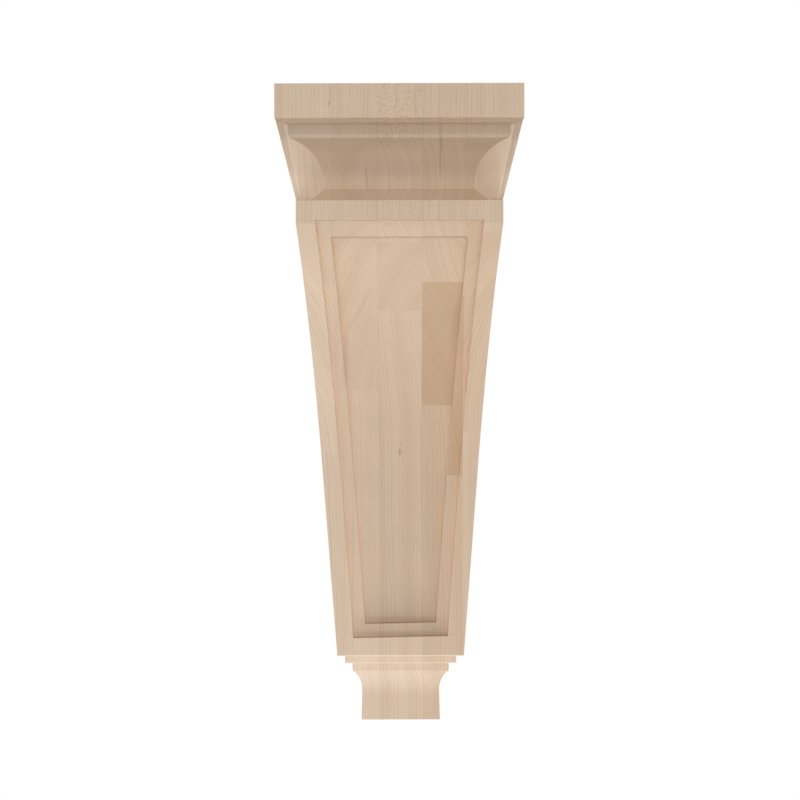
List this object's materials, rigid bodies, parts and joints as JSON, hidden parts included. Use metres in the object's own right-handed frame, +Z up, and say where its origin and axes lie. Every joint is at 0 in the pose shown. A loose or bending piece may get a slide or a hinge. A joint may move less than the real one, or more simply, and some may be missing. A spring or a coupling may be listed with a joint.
{
  "type": "wood corbel",
  "caption": "Tapered wood corbel with a square cap over a cove, a two-step sunk panel on a swept front, and a small moulded foot.",
  "frame": {"origin": "centre of the flat back behind the corbel's hollow, where it is fixed to the wall, 400 mm above its foot", "axes": "+Z up; the front faces -Y and the wall is the plane y = 0; +X to the right seen from the front"},
  "size_m": [0.1694, 0.1524, 0.4572],
  "materials": {
    "bare_maple": "bare maple, planed and sanded, edge glued from upright staves, no oil or varnish"
  },
  "bodies": {
    "root": {"corbel": "bare_maple"}
  },
  "joints": []
}
